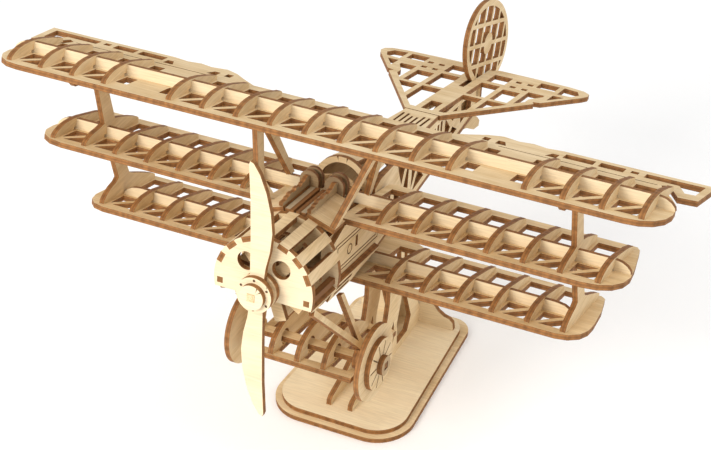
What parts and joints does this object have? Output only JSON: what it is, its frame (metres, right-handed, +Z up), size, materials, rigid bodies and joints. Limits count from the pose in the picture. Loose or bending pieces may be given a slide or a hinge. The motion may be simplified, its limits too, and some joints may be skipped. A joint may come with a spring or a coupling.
{
  "type": "triplane scale model",
  "caption": "Slot-together laser-cut plywood triplane display model with turning propeller and wheels on a two-layer stand.",
  "frame": {"origin": "centre of the underside of the stand's base", "axes": "+X along the wings to the model's left, +Y from nose to tail over the base, +Z up"},
  "size_m": [0.258, 0.2301, 0.1462],
  "materials": {
    "ply": "matte",
    "pale_ply": "matte"
  },
  "bodies": {
    "model": {"base_lower": "ply", "base_upper": "pale_ply", "stand_uprights": "ply", "stand_brace": "pale_ply", "top_wing_plate": "ply", "top_wing_spar": "pale_ply", "top_wing_ribs": "ply", "wing_lugs": "ply", "mid_wing_plates": "ply", "mid_wing_spar": "pale_ply", "mid_wing_ribs": "ply", "mid_strut_ribs": "ply", "low_wing_plate": "ply", "low_wing_spar": "pale_ply", "low_wing_ribs": "ply", "low_strut_ribs": "ply", "cowl_face": "pale_ply", "cowl_planks": "ply", "cowl_ring": "ply", "cowl_lower_panels": "ply", "side_frames": "ply", "side_panels": "ply", "belly_plate": "ply", "belly_panels": "ply", "gun_deck": "ply", "deck_sides": "ply", "gun_walls": "ply", "gun_floors": "pale_ply", "gun_backs": "ply", "cabane_struts": "ply", "cockpit_hoop": "ply", "seat_back": "pale_ply", "cockpit_floor": "ply", "turtle_deck": "ply", "rear_deck": "ply", "rear_sides": "ply", "rear_floor": "ply", "tail_formers": "ply", "tailplane": "ply", "rudder": "ply", "tail_skid": "ply", "gear_vees": "ply", "axle_hangers": "ply", "axle_wing_plate": "ply", "axle_wing_ribs": "ply"},
    "propeller": {"prop_shaft": "ply", "prop_flange_back": "ply", "prop_blade": "pale_ply", "prop_flange_front": "pale_ply", "prop_cap": "pale_ply", "shaft_collar": "ply", "engine_stars": "ply", "engine_fins": "ply"},
    "wheels": {"axle": "ply", "wheel_discs": "ply", "wheel_spoke_discs": "ply", "wheel_hubs": "ply"}
  },
  "joints": [
    {"name": "propeller_spin", "type": "hinge", "parent": "model", "child": "propeller", "pos_m": [0, -0.088, 0.099], "axis": [0, -0.989, 0.1478], "continuous": true},
    {"name": "wheel_spin", "type": "hinge", "parent": "model", "child": "wheels", "pos_m": [0, -0.05598, 0.05276], "axis": [1, 0, 0], "continuous": true}
  ]
}
